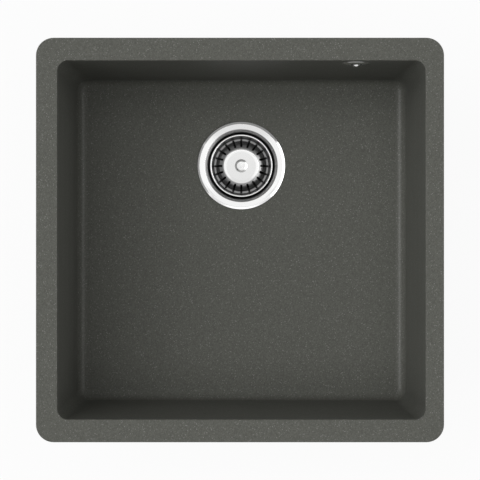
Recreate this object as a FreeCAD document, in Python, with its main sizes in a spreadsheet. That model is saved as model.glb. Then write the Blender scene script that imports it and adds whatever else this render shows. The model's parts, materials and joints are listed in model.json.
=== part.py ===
import FreeCAD, Part
import Sketcher
import math
import os

# Undermount kitchen sink with a basket strainer, an overflow and fixing clips.
# Millimetres, +Z up, +Y to the back. The origin is the centre of the rim's top
# plane, which is the underside of the worktop. The rim's centre is the centre
# of the frame, and the bowl sits a little to the right of it.

SHEET_ROWS = (
    ("rim_side_width", 22.5, "rim past the opening, left and right, before the bowl's shift"),
    ("rim_end_width", 25.75, "rim past the opening, front and back"),
    ("rim_thick", 12, "rim, top to underside"),
    ("rim_corner", 20, "rim corner radius in plan"),
    ("rim_edge", 1.2, "round on the rim's outer top edge"),
    ("opening_width", 415, "bowl opening, left to right"),
    ("opening_length", 404.5, "bowl opening, front to back"),
    ("opening_corner", 12, "opening corner radius in plan"),
    ("opening_edge", 0.8, "round on the opening's edge"),
    ("bowl_shift", 1.6, "bowl and drain, right of the rim's centre"),
    ("bowl_depth", 203, "rim top to floor at the drain's axis"),
    ("wall_draft", 1.5, "degrees the walls lean in"),
    ("floor_corner", 14.5, "bowl corner radius at the floor"),
    ("floor_round", 13, "round between walls and floor"),
    ("floor_slope", 0.5, "degrees the floor falls to the drain"),
    ("bowl_wall", 9, "bowl wall thickness"),
    ("bowl_floor", 10, "bowl floor thickness at the drain"),
    ("cut_over", 5, "how far a cutter passes the face it opens"),
    ("drain_back", 92, "drain axis, behind the centre"),
    ("drain_play", 1.2, "drain hole round the cup's mouth"),
    ("seat_play", 1, "recess round the strainer flange"),
    ("seat_drop", 2.5, "recess below the floor's lowest level"),
    ("boss_margin", 5, "flat boss under the drain, past the recess"),
    ("boss_drop", 3, "boss below the bowl's underside"),
    ("gasket_lap", 1, "gasket bore past the drain hole"),
    ("gasket_inset", 0.5, "gasket inside the flange's edge"),
    ("gasket_thick", 1.5, "flange gasket thickness"),
    ("cup_flange", 54, "radius of the strainer flange"),
    ("flange_lip", 0.7, "flange thickness at its edge"),
    ("crest_inset", 2.8, "flange crest inside its edge"),
    ("crest_rise", 1.9, "flange crest above the gasket"),
    ("crest_round", 1.5, "round on the flange's crest"),
    ("crease_inset", 5.1, "flange crease inside its edge"),
    ("crease_rise", 1.4, "flange crease above the gasket"),
    ("mouth_inset", 9.2, "cup mouth inside the flange's edge"),
    ("mouth_rise", 0.9, "cup mouth above the gasket"),
    ("mouth_round", 1, "round on the cup's mouth"),
    ("cup_bore", 40, "inner radius of the cup"),
    ("cup_sheet", 1.2, "sheet thickness of the cup"),
    ("cone_drop", 4.5, "cone's foot below the seat"),
    ("cup_drop", 24.5, "cup wall's foot below the seat"),
    ("cup_fall", 3, "fall of the cup's bottom to the outlet"),
    ("cone_bend", 3, "bend between the cup's cone and wall"),
    ("cup_bend", 4, "inner bend at the cup's bottom"),
    ("outlet_bore", 19.5, "radius of the cup's outlet"),
    ("outlet_bend", 0.6, "bend between the cup's bottom and outlet"),
    ("arm_count", 3, "arms of the spider in the cup's outlet"),
    ("arm_width", 5, "spider arm width"),
    ("arm_thick", 1.6, "spider arm thickness"),
    ("arm_lap", 0.6, "spider arm into the wall it joins"),
    ("hub_radius", 8, "spider hub radius"),
    ("hub_thick", 2.4, "spider hub thickness"),
    ("lower_gasket_lap", 0.5, "lower gasket bore past the drain hole"),
    ("lower_gasket_thick", 2.5, "lower gasket thickness"),
    ("waste_flange", 52, "radius of the waste body's flange"),
    ("waste_flange_thick", 3, "waste flange thickness"),
    ("waste_flange_round", 1.5, "round under the waste flange"),
    ("waste_wall", 2.5, "waste body wall"),
    ("waste_play", 0.6, "waste body round the cup"),
    ("waste_foot_play", 5.3, "waste body's cone below the cup's corner"),
    ("waste_cone", 21, "height of the waste body's cone"),
    ("cone_top_round", 6, "round at the top of the waste body's cone"),
    ("cone_foot_round", 3, "round at the foot of the waste body's cone"),
    ("outlet_thread", 23.9, "crest radius of the outlet thread"),
    ("outlet_wall", 2.7, "outlet wall under the thread"),
    ("outlet_length", 30.5, "outlet pipe below the cone"),
    ("thread_pitch", 2.309, "pitch of the outlet thread"),
    ("thread_depth", 1.2, "depth of the outlet thread"),
    ("thread_flank", 0.3, "share of the pitch that a flank takes"),
    ("thread_crest", 0.3, "share of the pitch that a crest takes"),
    ("thread_count", 8, "ridges on the outlet"),
    ("waste_hub_radius", 8, "waste body hub radius"),
    ("waste_hub_length", 16, "waste body hub length"),
    ("waste_arm_count", 3, "arms that hold the waste body's hub"),
    ("waste_arm_length", 8, "height of the waste body's arms"),
    ("waste_arm_width", 3, "width of the waste body's arms"),
    ("waste_hub_drop", 2, "top of the arms below the outlet's start"),
    ("clamp_radius", 2.9, "clamp screw shank radius"),
    ("clamp_head", 6, "clamp screw head radius"),
    ("clamp_head_rise", 6, "clamp screw head height"),
    ("clamp_head_round", 0.6, "round on the clamp screw's head"),
    ("socket_round", 0.4, "round at the mouth of that head's hollow"),
    ("clamp_play", 0.4, "clamp screw hole round the shank"),
    ("socket_depth", 5, "hollow in the clamp screw's head"),
    ("nut_wall", 2, "wall of the brass inserts in the plastic"),
    ("fit_slip", 0.05, "slip fit round pressed-in pieces"),
    ("clamp_nut_length", 12, "length of the clamp nut"),
    ("stem_radius", 3, "basket stem radius"),
    ("stem_play", 0.3, "clearance round the stem"),
    ("stem_gap", 1.2, "stem end above the socket's bottom"),
    ("stem_round", 0.6, "round on the stem's end"),
    ("basket_play", 1.3, "basket rim inside the cup"),
    ("basket_sheet", 1, "sheet thickness of the basket"),
    ("basket_rim_drop", 2, "basket rim below the seat"),
    ("basket_rim_wide", 1.9, "width of the basket's rolled rim"),
    ("basket_rim_tall", 1.6, "height of the basket's rolled rim"),
    ("basket_rim_round", 0.7, "round on the basket's rolled rim"),
    ("basket_taper", 2.2, "lean of the basket's wall, rim to trough"),
    ("trough_bend", 1.5, "bends at the trough's bottom"),
    ("hub_taper", 3.2, "lean of the basket's dome, shoulder to trough"),
    ("shoulder_radius", 27.6, "radius of the basket dome's shoulder"),
    ("shoulder_drop", 3.9, "shoulder below the plateau"),
    ("shoulder_bend", 1.5, "bend at the shoulder"),
    ("shoulder_wide", 5, "shoulder outside the corner of the plateau and the dome"),
    ("plateau_drop", 7.5, "plateau below the seat"),
    ("plateau_bend", 15, "round from the plateau over the dome"),
    ("slot_count", 20, "slots in the basket"),
    ("slot_width", 2.7, "width of a basket slot"),
    ("slot_inner_gap", 0.7, "slot end outside the plateau's corner"),
    ("slot_outer_gap", 0.8, "slot end from the trough's outer edge"),
    ("knob_radius", 7.9, "knob radius"),
    ("knob_neck", 4.4, "knob neck radius"),
    ("knob_neck_tall", 4.2, "knob neck height"),
    ("knob_foot", 5.8, "knob foot radius"),
    ("knob_foot_round", 0.5, "round on the knob's foot"),
    ("knob_waist_round", 4, "round of the knob's waist"),
    ("knob_throat_round", 0.8, "round between the neck and the head"),
    ("knob_head_tall", 5.8, "knob head height"),
    ("knob_edge", 0.6, "rise and round of the head's lower edge"),
    ("knob_dome", 2.2, "height of the knob's dome"),
    ("knob_dome_wide", 2.6, "width of the slope round the dome"),
    ("knob_dome_round", 1.6, "round at the dome's foot"),
    ("knob_crown", 0.4, "rise of the knob's crown"),
    ("knob_crown_round", 3, "round at the crown's edge"),
    ("knob_bore", 6, "depth of the stem's bore in the knob"),
    ("knob_bore_gap", 0.5, "air above the stem in the knob"),
    ("seal_lap", 3, "basket seal past the cup's outlet"),
    ("seal_rest", 0.3, "basket seal above the cup's bottom"),
    ("seal_thick", 4.7, "basket seal thickness"),
    ("seal_gap", 0.3, "seal below the basket"),
    ("seal_lip", 1.6, "thickness of the seal's lip at its edge"),
    ("seal_lip_root", 2.2, "thickness of the lip at its root"),
    ("seal_lip_wide", 2.5, "width of the lip"),
    ("seal_lip_round", 0.5, "round under the lip's edge"),
    ("seal_body_inset", 3.5, "seal's top inside the lip's edge"),
    ("seal_body_round", 0.8, "rounds on the seal's body"),
    ("seal_hub", 9, "radius of the seal's hub, up to the plateau"),
    ("retainer_radius", 12, "seal retainer radius"),
    ("retainer_thick", 1, "seal retainer thickness"),
    ("catch_radius", 5.5, "catch ring radius"),
    ("catch_thick", 0.7, "catch ring thickness"),
    ("catch_gap", 0.1, "catch ring below the retainer"),
    ("catch_clear", 0.5, "catch ring above the clamp screw"),
    ("overflow_right", 132.7, "overflow axis, right of the centre"),
    ("elbow_clear", 0.5, "overflow elbow below the rim's underside"),
    ("overflow_bore", 10, "radius of the hole through the wall"),
    ("overflow_pad", 0.55, "flat pad proud of the outer wall"),
    ("pad_margin", 1.5, "that pad past the elbow"),
    ("rosette_sink", 0.25, "rosette seat behind the opening's edge"),
    ("rosette_play", 0.5, "recess round the rosette"),
    ("rosette_radius", 15.5, "rosette radius"),
    ("rosette_edge", 0.9, "rosette thickness at its edge"),
    ("rosette_edge_round", 0.4, "round on the rosette's edge"),
    ("rosette_rise", 3, "rosette thickness at its middle"),
    ("rosette_crown", 8.5, "radius where the dome flattens"),
    ("rosette_crown_round", 14, "round where the dome flattens"),
    ("rosette_holes", 6, "holes in the rosette"),
    ("rosette_hole", 2.5, "radius of a rosette hole"),
    ("rosette_ring", 7.7, "circle that the holes lie on"),
    ("tap_radius", 2, "overflow screw shank radius"),
    ("tap_play", 0.3, "rosette bore round the screw"),
    ("tap_head", 4, "overflow screw head radius"),
    ("tap_head_rise", 2.2, "overflow screw head height"),
    ("tap_head_edge", 0.6, "straight edge of that head"),
    ("tap_head_slope", 1.2, "width of that head's sloping ring"),
    ("tap_crown_round", 2.5, "round at the top of that head"),
    ("tap_edge_round", 1.2, "round on that head's edge"),
    ("tap_end_gap", 1, "overflow screw's end short of the elbow's back"),
    ("tap_slot_wide", 1, "screwdriver slot width"),
    ("tap_slot_deep", 0.8, "screwdriver slot depth"),
    ("overflow_gasket_lap", 0.5, "overflow gasket's bore past the wall's hole"),
    ("overflow_gasket_inset", 0.5, "overflow gasket inside the elbow's edge"),
    ("overflow_gasket_thick", 1.5, "overflow gasket thickness"),
    ("elbow_radius", 15.5, "overflow elbow radius"),
    ("elbow_depth", 15.7, "overflow elbow depth"),
    ("elbow_wall", 2, "overflow elbow wall"),
    ("elbow_edge", 2, "round on the elbow's back"),
    ("elbow_boss", 4.5, "radius of the boss in the elbow"),
    ("elbow_boss_long", 11, "length of the boss in the elbow"),
    ("insert_wall", 1, "wall of the elbow's brass insert"),
    ("insert_sink", 1, "brass insert below the boss's face"),
    ("insert_end", 1, "brass insert short of the elbow's back"),
    ("spigot_radius", 8.1, "outer radius of the elbow's spigot"),
    ("spigot_wall", 1.8, "wall of the elbow's spigot"),
    ("spigot_lap", 17, "spigot inside the hose"),
    ("spigot_play", 0.1, "spigot behind the gasket"),
    ("hose_slip", 0.1, "hose bore over the spigot"),
    ("hose_wall", 0.6, "hose wall in the valleys"),
    ("hose_rib", 0.9, "height of a hose rib"),
    ("hose_pitch", 5, "spacing of the hose ribs"),
    ("hose_crest", 0.4, "share of the pitch that a crest takes"),
    ("hose_flank", 0.12, "share of the pitch that a flank takes"),
    ("hose_bend", 58, "radius of the hose's bend"),
    ("hose_top_gap", 1.5, "hose end below the elbow"),
    ("hose_cuff", 20, "smooth end of the hose"),
    ("clamp_band_wide", 8, "hose clamp band width"),
    ("clamp_band_thick", 1, "hose clamp band thickness"),
    ("clamp_band_gap", 0.1, "hose clamp round the hose"),
    ("clamp_band_inset", 7, "clamp band below the hose's end"),
    ("clamp_lug", 7, "hose clamp screw housing, each way"),
    ("clamp_lug_round", 1, "round on that housing"),
    ("worm_radius", 2, "hose clamp screw radius"),
    ("worm_flats", 6, "hose clamp screw head across flats"),
    ("worm_head", 3, "hose clamp screw head height"),
    ("inlet_rise", 7, "hose inlet's axis above the outlet's start"),
    ("inlet_reach", 60, "hose inlet from the drain's axis"),
    ("inlet_wall", 3.3, "wall of the hose inlet with its thread"),
    ("hose_seal_thick", 2, "hose seal thickness"),
    ("hose_flange_play", 0.3, "hose's end flange inside the inlet's edge"),
    ("hose_flange_thick", 2, "hose end flange thickness"),
    ("hose_nut_play", 0.3, "hose nut round the thread"),
    ("hose_nut_wall", 3.2, "hose nut wall"),
    ("hose_nut_lap", 9, "hose nut over the thread"),
    ("hose_nut_lip", 2.2, "hose nut lip thickness"),
    ("hose_nut_round", 1.5, "round at the hose nut's lip"),
    ("hose_nut_edge", 0.8, "round at the hose nut's open end"),
    ("nut_grips", 12, "grip flutes round the hose nut"),
    ("nut_flute", 1.6, "radius of a grip flute"),
    ("clip_wall_gap", 0.6, "clips from the bowl's wall"),
    ("clip_front_inset", 120, "front clip pivots from the rim's corners"),
    ("clip_side_inset", 118, "side clip pivots from the rim's corners"),
    ("clip_back_inset", 115, "back left clip pivot from the rim's corner"),
    ("clip_hose_gap", 90.7, "back right clip pivot, left of the overflow"),
    ("clip_length", 55, "length of a clip"),
    ("clip_width", 10, "width of a clip"),
    ("clip_thick", 2.5, "thickness of a clip"),
    ("clip_gap", 0.2, "clip below the rim"),
    ("clip_slot_wide", 5.5, "width of a clip's slot"),
    ("clip_slot_long", 14, "length of a clip's slot"),
    ("clip_slot_end", 4, "metal past a clip's slot"),
    ("pivot_radius", 3, "shoulder radius of a clip screw"),
    ("pivot_play", 0.08, "clip bore round the shoulder"),
    ("washer_gap", 0.1, "washer below the clip"),
    ("washer_radius", 5, "washer radius"),
    ("washer_thick", 1, "washer thickness"),
    ("screw_flats", 8, "clip screw head across flats"),
    ("screw_head", 3.5, "clip screw head height"),
    ("screw_thread", 2, "clip screw thread radius"),
    ("screw_long", 7, "clip screw thread length"),
    ("screw_round", 0.5, "round on the thread's end"),
    ("brass_radius", 3.5, "rim insert radius"),
    ("brass_long", 8, "rim insert length"),
    ("brass_end", 0.5, "air above a rim insert"),
)

doc = FreeCAD.newDocument("undermount_sink")
sheet = doc.addObject("Spreadsheet::Sheet", "sizes")
for row, (alias, number, meaning) in enumerate(SHEET_ROWS, start=1):
    sheet.set("A%d" % row, meaning)
    sheet.set("B%d" % row, str(number))
    sheet.setAlias("B%d" % row, alias)
doc.recompute()


class Size:
    """A length, angle or count written as a formula over the sheet's cells."""

    def __init__(self, formula):
        self.formula = formula

    def joined(self, sign, other, swapped=False):
        left, right = text_of(self), text_of(other)
        if swapped:
            left, right = right, left
        return Size("(%s %s %s)" % (left, sign, right))

    def __add__(self, other):
        return self.joined("+", other)

    def __radd__(self, other):
        return self.joined("+", other, swapped=True)

    def __sub__(self, other):
        return self.joined("-", other)

    def __rsub__(self, other):
        return self.joined("-", other, swapped=True)

    def __mul__(self, other):
        return self.joined("*", other)

    def __rmul__(self, other):
        return self.joined("*", other, swapped=True)

    def __truediv__(self, other):
        return self.joined("/", other)

    def __neg__(self):
        return Size("(-1 * %s)" % self.formula)


def text_of(value):
    """The formula of a size, or a plain number in brackets."""
    if isinstance(value, Size):
        return value.formula
    return "(%.9g)" % value


def number_of(value):
    """What a size comes to now, in millimetres, degrees or pieces."""
    if isinstance(value, Size):
        return float(sheet.evalExpression(value.formula))
    return float(value)


def tangent(angle):
    return Size("tan(%s)" % text_of(angle))


def length_of(across, along):
    return Size("hypot(%s; %s)" % (text_of(across), text_of(along)))


def bearing_of(across, along):
    return Size("atan2(%s; %s)" % (text_of(along), text_of(across)))


class Cells:
    """Gives each cell of the sheet by its alias."""

    def __getattr__(self, alias):
        return Size("sizes." + alias)


cell = Cells()
PARTS = []


def bind(thing, name, value):
    """Sets a property, by a formula where the value is a size."""
    if isinstance(value, Size):
        thing.setExpression(name, value.formula)
    else:
        setattr(thing, name, value)


def place(thing, at, about=(0, 0, 1), turn=0):
    """Puts a thing at a point, turned about an axis, all by formulas."""
    point = FreeCAD.Vector(*[number_of(value) for value in at])
    thing.Placement = FreeCAD.Placement(point, FreeCAD.Rotation(FreeCAD.Vector(*about), number_of(turn)))
    for letter, value in zip("xyz", at):
        if isinstance(value, Size):
            thing.setExpression("Placement.Base." + letter, value.formula)
    if isinstance(turn, Size):
        thing.setExpression("Placement.Rotation.Angle", turn.formula)


def new_body(name, at=(0, 0, 0), about=(0, 0, 1), turn=0):
    body = doc.addObject("PartDesign::Body", name)
    body.Label = name
    place(body, at, about, turn)
    return body


def subpart(thing, name):
    """Marks a finished thing as a piece of the object, under its own name."""
    thing.Label = name
    PARTS.append(thing)
    return thing


# ---------------------------------------------------------------- sketches

def new_sketch(body, name, plane, offset=0):
    """A sketch on one of the body's own planes, or a distance from it."""
    sketch = body.newObject("Sketcher::SketchObject", name)
    support = [item for item in body.Origin.OriginFeatures if item.Role == plane][0]
    sketch.AttachmentSupport = [(support, "")]
    sketch.MapMode = "FlatFace"
    sketch.AttachmentOffset = FreeCAD.Placement(FreeCAD.Vector(0, 0, number_of(offset)), FreeCAD.Rotation())
    if isinstance(offset, Size):
        sketch.setExpression("AttachmentOffset.Base.z", offset.formula)
    return sketch


def hold(sketch, kind, value, *where):
    """Adds a constraint whose value follows a size."""
    index = sketch.addConstraint(Sketcher.Constraint(kind, *where, number_of(value)))
    if isinstance(value, Size):
        sketch.setExpression("Constraints[%d]" % index, value.formula)


def hold_point(sketch, geometry, end, across, up):
    """Holds a point by its distances from the sketch's origin."""
    for kind, value, axis in (("DistanceX", across, -2), ("DistanceY", up, -1)):
        if isinstance(value, Size) or value:
            hold(sketch, kind, value, -1, 1, geometry, end)
        else:
            sketch.addConstraint(Sketcher.Constraint("PointOnObject", geometry, end, axis))


def draw_circle(sketch, across, up, radius):
    centre = FreeCAD.Vector(number_of(across), number_of(up), 0)
    circle = Part.Circle(centre, FreeCAD.Vector(0, 0, 1), number_of(radius))
    index = sketch.addGeometry(circle)
    hold_point(sketch, index, 3, across, up)
    hold(sketch, "Radius", radius, index)


def draw_outline(sketch, corners):
    """Closed outline through corners (across, up) or (across, up, round)."""
    points = [FreeCAD.Vector(number_of(item[0]), number_of(item[1]), 0) for item in corners]
    rounds = [item[2] if len(item) > 2 else 0 for item in corners]
    count = len(corners)
    arrive, leave = [], []
    for index, point in enumerate(points):
        before = (points[index - 1] - point).normalize()
        after = (points[(index + 1) % count] - point).normalize()
        half = before.getAngle(after) / 2
        back = number_of(rounds[index]) / math.tan(half)
        arrive.append(point + before * back)
        leave.append(point + after * back)
    lines = []
    for index in range(count):
        start, end = leave[index], arrive[(index + 1) % count]
        lines.append(sketch.addGeometry(Part.LineSegment(start, end)))
    for index, corner in enumerate(corners):
        previous, following = lines[index - 1], lines[index]
        if not rounds[index]:
            sketch.addConstraint(Sketcher.Constraint("Coincident", previous, 2, following, 1))
            hold_point(sketch, following, 1, corner[0], corner[1])
            continue
        mark = sketch.addGeometry(Part.Point(points[index]), True)
        hold_point(sketch, mark, 1, corner[0], corner[1])
        sketch.addConstraint(Sketcher.Constraint("PointOnObject", mark, 1, previous))
        sketch.addConstraint(Sketcher.Constraint("PointOnObject", mark, 1, following))
        draw_round(sketch, arrive[index], points[index], leave[index], rounds[index], previous, following)


def draw_round(sketch, arrive, corner, leave, radius, previous, following):
    """The arc that rounds one corner of an outline, tangent to both lines."""
    into, out = corner - arrive, leave - corner
    turns_left = into.cross(out).z > 0
    side = FreeCAD.Vector(-into.y, into.x, 0).normalize() * number_of(radius)
    centre = arrive + side if turns_left else arrive - side
    first, last = (arrive, leave) if turns_left else (leave, arrive)
    start = math.atan2(first.y - centre.y, first.x - centre.x)
    stop = math.atan2(last.y - centre.y, last.x - centre.x)
    if stop < start:
        stop += 2 * math.pi
    circle = Part.Circle(centre, FreeCAD.Vector(0, 0, 1), number_of(radius))
    arc = sketch.addGeometry(Part.ArcOfCircle(circle, start, stop))
    arrive_end, leave_end = (1, 2) if turns_left else (2, 1)
    sketch.addConstraint(Sketcher.Constraint("Tangent", previous, 2, arc, arrive_end))
    sketch.addConstraint(Sketcher.Constraint("Tangent", following, 1, arc, leave_end))
    hold(sketch, "Radius", radius, arc)


def draw_slot(sketch, near, far, radius):
    """A round-ended slot along the sketch's first axis, by its end centres."""
    left, right, reach = number_of(near), number_of(far), number_of(radius)
    up = FreeCAD.Vector(0, 0, 1)
    half_turn = math.pi / 2
    right_circle = Part.Circle(FreeCAD.Vector(right, 0, 0), up, reach)
    left_circle = Part.Circle(FreeCAD.Vector(left, 0, 0), up, reach)
    right_arc = sketch.addGeometry(Part.ArcOfCircle(right_circle, -half_turn, half_turn))
    left_arc = sketch.addGeometry(Part.ArcOfCircle(left_circle, half_turn, 3 * half_turn))
    top_line = Part.LineSegment(FreeCAD.Vector(right, reach, 0), FreeCAD.Vector(left, reach, 0))
    low_line = Part.LineSegment(FreeCAD.Vector(left, -reach, 0), FreeCAD.Vector(right, -reach, 0))
    top, low = sketch.addGeometry(top_line), sketch.addGeometry(low_line)
    for first, first_end, second, second_end in (
            (right_arc, 2, top, 1), (top, 2, left_arc, 1), (left_arc, 2, low, 1), (low, 2, right_arc, 1)):
        sketch.addConstraint(Sketcher.Constraint("Tangent", first, first_end, second, second_end))
    hold_point(sketch, right_arc, 3, far, 0)
    hold_point(sketch, left_arc, 3, near, 0)
    hold(sketch, "Radius", radius, right_arc)


def draw_hexagon(sketch, across, up, flats):
    """A hexagon about a centre, by its width across flats."""
    corners = []
    reach = flats / math.sqrt(3)
    for index in range(6):
        angle = math.radians(60 * index)
        corners.append((across + reach * math.cos(angle), up + reach * math.sin(angle)))
    draw_outline(sketch, corners)


def rectangle(width, length, centre=0, corner=0):
    """Corners of a rectangle about a centre, with rounds if asked."""
    left, right = centre - width / 2, centre + width / 2
    front, back = -length / 2, length / 2
    return [(left, front, corner), (right, front, corner), (right, back, corner), (left, back, corner)]


def bar(reach, width):
    """Corners of a bar from the sketch's origin along its first axis."""
    return [(0, -width / 2), (reach, -width / 2), (reach, width / 2), (0, width / 2)]


def a_circle(across, up, radius):
    """What pad and pocket call to draw one circle."""
    return lambda sketch: draw_circle(sketch, across, up, radius)


def a_slot(near, far, radius):
    return lambda sketch: draw_slot(sketch, near, far, radius)


def an_outline(corners):
    return lambda sketch: draw_outline(sketch, corners)


# ---------------------------------------------------------------- features

def feature(body, kind, name, **settings):
    item = body.newObject("PartDesign::" + kind, name)
    for key, value in settings.items():
        bind(item, key, value)
    body.Tip = item
    return item


def turn_profile(body, corners, kind="Revolution", axis="V_Axis"):
    """Turns a closed profile on the XZ plane through a full circle."""
    sketch = new_sketch(body, "profile", "XZ_Plane")
    draw_outline(sketch, corners)
    return feature(body, kind, "turned", Profile=sketch, ReferenceAxis=(sketch, [axis]), Angle=360)


def turned(name, corners, at, about=(0, 0, 1), turn=0, axis="V_Axis"):
    """A body that is one turned profile."""
    body = new_body(name, at, about, turn)
    turn_profile(body, corners, axis=axis)
    return body


def pad(body, draw, depth, plane="XY_Plane", offset=0, down=False):
    """Pads a sketch that draw fills; down pads against the plane's normal."""
    sketch = new_sketch(body, "outline", plane, offset)
    draw(sketch)
    return feature(body, "Pad", "pad", Profile=sketch, Length=depth, Reversed=down)


def pocket(body, draw, depth, plane="XY_Plane", offset=0, along=False):
    """Cuts a sketch against the plane's normal, or along it."""
    sketch = new_sketch(body, "cut", plane, offset)
    draw(sketch)
    return feature(body, "Pocket", "pocket", Profile=sketch, Length=depth, Reversed=along)


def repeat_round(body, item, count):
    """Repeats the last feature round the body's own Z axis."""
    sketch = item.Profile[0]
    pattern = body.newObject("PartDesign::PolarPattern", "round")
    pattern.Originals = [item]
    pattern.Axis = (sketch, ["N_Axis"])
    pattern.Angle = 360
    bind(pattern, "Occurrences", count)
    body.Tip = pattern
    return pattern


def round_edges(body, test, radius):
    """Rounds every edge of the body whose points all pass a test."""
    doc.recompute()
    base = body.Tip
    names = []
    for index, edge in enumerate(base.Shape.Edges, start=1):
        if not edge.Degenerated and all(test(point) for point in edge.discretize(Number=5)):
            names.append("Edge%d" % index)
    return feature(body, "Fillet", "rounded", Base=(base, names), Radius=radius)


def ring(inner, outer, low, high):
    """Corners of a flat ring's profile."""
    return [(inner, low), (outer, low), (outer, high), (inner, high)]


def grouped(name, bodies):
    """One node for identical fasteners, each a solid of its own."""
    group = doc.addObject("Part::Compound", name)
    group.Links = bodies
    return subpart(group, name)


# ---------------------------------------------------------------- shared places

RIM_WIDTH = cell.opening_width + 2 * cell.rim_side_width
RIM_LENGTH = cell.opening_length + 2 * cell.rim_end_width
SEAT_LEVEL = -(cell.bowl_depth + cell.seat_drop)
SEAT_RADIUS = cell.cup_flange + cell.seat_play
DRAIN_BORE = cell.cup_flange - cell.mouth_inset + cell.drain_play
DRAIN = (cell.bowl_shift, cell.drain_back, SEAT_LEVEL)
BOSS_FACE = cell.seat_drop - cell.bowl_floor - cell.boss_drop
OUTER_FACE = cell.opening_length / 2 + cell.bowl_wall + cell.overflow_pad
ROSETTE_FACE = cell.opening_length / 2 + cell.rosette_sink
OVERFLOW_LEVEL = -(cell.rim_thick + cell.elbow_radius + cell.elbow_clear)
OVERFLOW = (cell.overflow_right, OUTER_FACE, OVERFLOW_LEVEL)
HOSE_BACK = cell.overflow_gasket_thick + cell.spigot_play + cell.spigot_radius
HOSE_TOP = OVERFLOW_LEVEL - cell.elbow_radius - cell.hose_top_gap
HOSE_ACROSS = cell.overflow_right - cell.bowl_shift
HOSE_ALONG = OUTER_FACE + HOSE_BACK - cell.drain_back
HOSE_REACH = length_of(HOSE_ACROSS, HOSE_ALONG)
HOSE_BEARING = bearing_of(HOSE_ACROSS, HOSE_ALONG)
HOSE_BORE = cell.spigot_radius + cell.hose_slip
INLET_RADIUS = HOSE_BORE + cell.inlet_wall
HOSE_FLANGE = INLET_RADIUS - cell.hose_flange_play
RIM_UNDER = -cell.rim_thick
CLIP_OUT = cell.bowl_wall + cell.clip_wall_gap + cell.clip_width / 2
CLIP_LEFT = cell.bowl_shift - cell.opening_width / 2 - CLIP_OUT
CLIP_RIGHT = cell.bowl_shift + cell.opening_width / 2 + CLIP_OUT
CLIP_BACK = cell.opening_length / 2 + CLIP_OUT
CLIP_ACROSS = RIM_WIDTH / 2 - cell.clip_front_inset
CLIP_ALONG = RIM_LENGTH / 2 - cell.clip_side_inset
CLIP_PLACES = (
    ("front_left", -CLIP_ACROSS, -CLIP_BACK, 180),
    ("front_right", CLIP_ACROSS, -CLIP_BACK, 180),
    ("right_front", CLIP_RIGHT, -CLIP_ALONG, 270),
    ("right_back", CLIP_RIGHT, CLIP_ALONG, 270),
    ("back_right", cell.overflow_right - cell.clip_hose_gap, CLIP_BACK, 0),
    ("back_left", cell.clip_back_inset - RIM_WIDTH / 2, CLIP_BACK, 0),
    ("left_back", CLIP_LEFT, CLIP_ALONG, 90),
    ("left_front", CLIP_LEFT, -CLIP_ALONG, 90),
)


# ---------------------------------------------------------------- bowl

NEAR = 0.01


def wall_section(body, name, depth, wall, corner):
    """A level section of the bowl, a wall thickness outside its inner face."""
    sketch = new_sketch(body, name, "XY_Plane", -depth)
    lean = 2 * depth * tangent(cell.wall_draft)
    width = cell.opening_width + 2 * wall - lean
    length = cell.opening_length + 2 * wall - lean
    draw_outline(sketch, rectangle(width, length, cell.bowl_shift, corner + wall))
    return sketch


def make_cavity():
    """The hollow of the bowl: leaning walls, a floor that falls, rounded."""
    floor = new_body("cavity_floor", (cell.bowl_shift, cell.drain_back, 0))
    far = cell.opening_width / 2 + cell.opening_length / 2 + cell.drain_back
    rise = far * tangent(cell.floor_slope)
    turn_profile(floor, [(0, -cell.bowl_depth), (far, rise - cell.bowl_depth), (far, 0), (0, 0)])
    walls = new_body("cavity_walls")
    top = wall_section(walls, "mouth", 0, 0, cell.opening_corner)
    low = wall_section(walls, "foot", cell.bowl_depth + cell.cut_over, 0, cell.floor_corner)
    feature(walls, "AdditiveLoft", "walls", Profile=top, Sections=[low], Ruled=True)
    doc.recompute()
    common = walls.newObject("PartDesign::Boolean", "cavity")
    common.setObjects([floor])
    common.Type = "Common"
    walls.Tip = common
    floor_level = number_of(-cell.bowl_depth + rise)
    keep_out = number_of(SEAT_RADIUS)
    axis = FreeCAD.Vector(number_of(cell.bowl_shift), number_of(cell.drain_back), 0)

    def on_floor_edge(point):
        away = FreeCAD.Vector(point.x, point.y, 0).distanceToPoint(axis)
        return point.z < floor_level and away > keep_out

    round_edges(walls, on_floor_edge, cell.floor_round)
    return walls


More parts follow.
